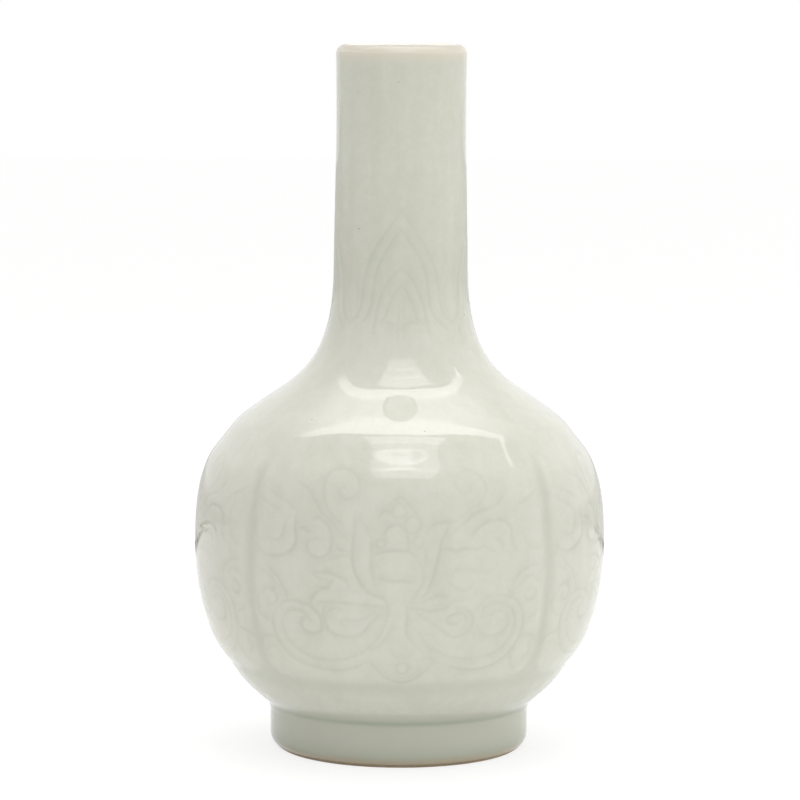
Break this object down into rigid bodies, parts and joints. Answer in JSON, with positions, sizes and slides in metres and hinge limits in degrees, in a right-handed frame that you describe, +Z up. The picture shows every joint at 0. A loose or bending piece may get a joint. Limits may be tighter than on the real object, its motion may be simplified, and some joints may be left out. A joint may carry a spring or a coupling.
{
  "type": "incised porcelain bottle vase",
  "caption": "Bottle vase with a tall plain-lipped neck, a lobed globular body incised with lotus scroll and plantain leaves, and a round foot; pale celadon glaze.",
  "frame": {"origin": "centre of the foot ring, on the surface the vase stands on", "axes": "+Z up along the vase's axis, -Y towards the viewer of the pictured panel, +X to the viewer's right"},
  "size_m": [0.175, 0.175, 0.3],
  "materials": {
    "porcelain": "bare fired porcelain, smooth and matte, burnt pale orange at the foot",
    "slip": "fired luting slip, hidden in the seams",
    "celadon_glaze": "thick glossy pale greyish green celadon glaze over incised lines",
    "inner_glaze": "glossy pale celadon glaze"
  },
  "bodies": {
    "root": {"foot_ring": "porcelain", "lower_body": "porcelain", "upper_body": "porcelain", "neck": "porcelain", "foot_slip": "slip", "belly_slip": "slip", "neck_slip": "slip", "outer_glaze": "celadon_glaze", "inner_glaze": "inner_glaze", "base_glaze": "inner_glaze"}
  },
  "joints": []
}
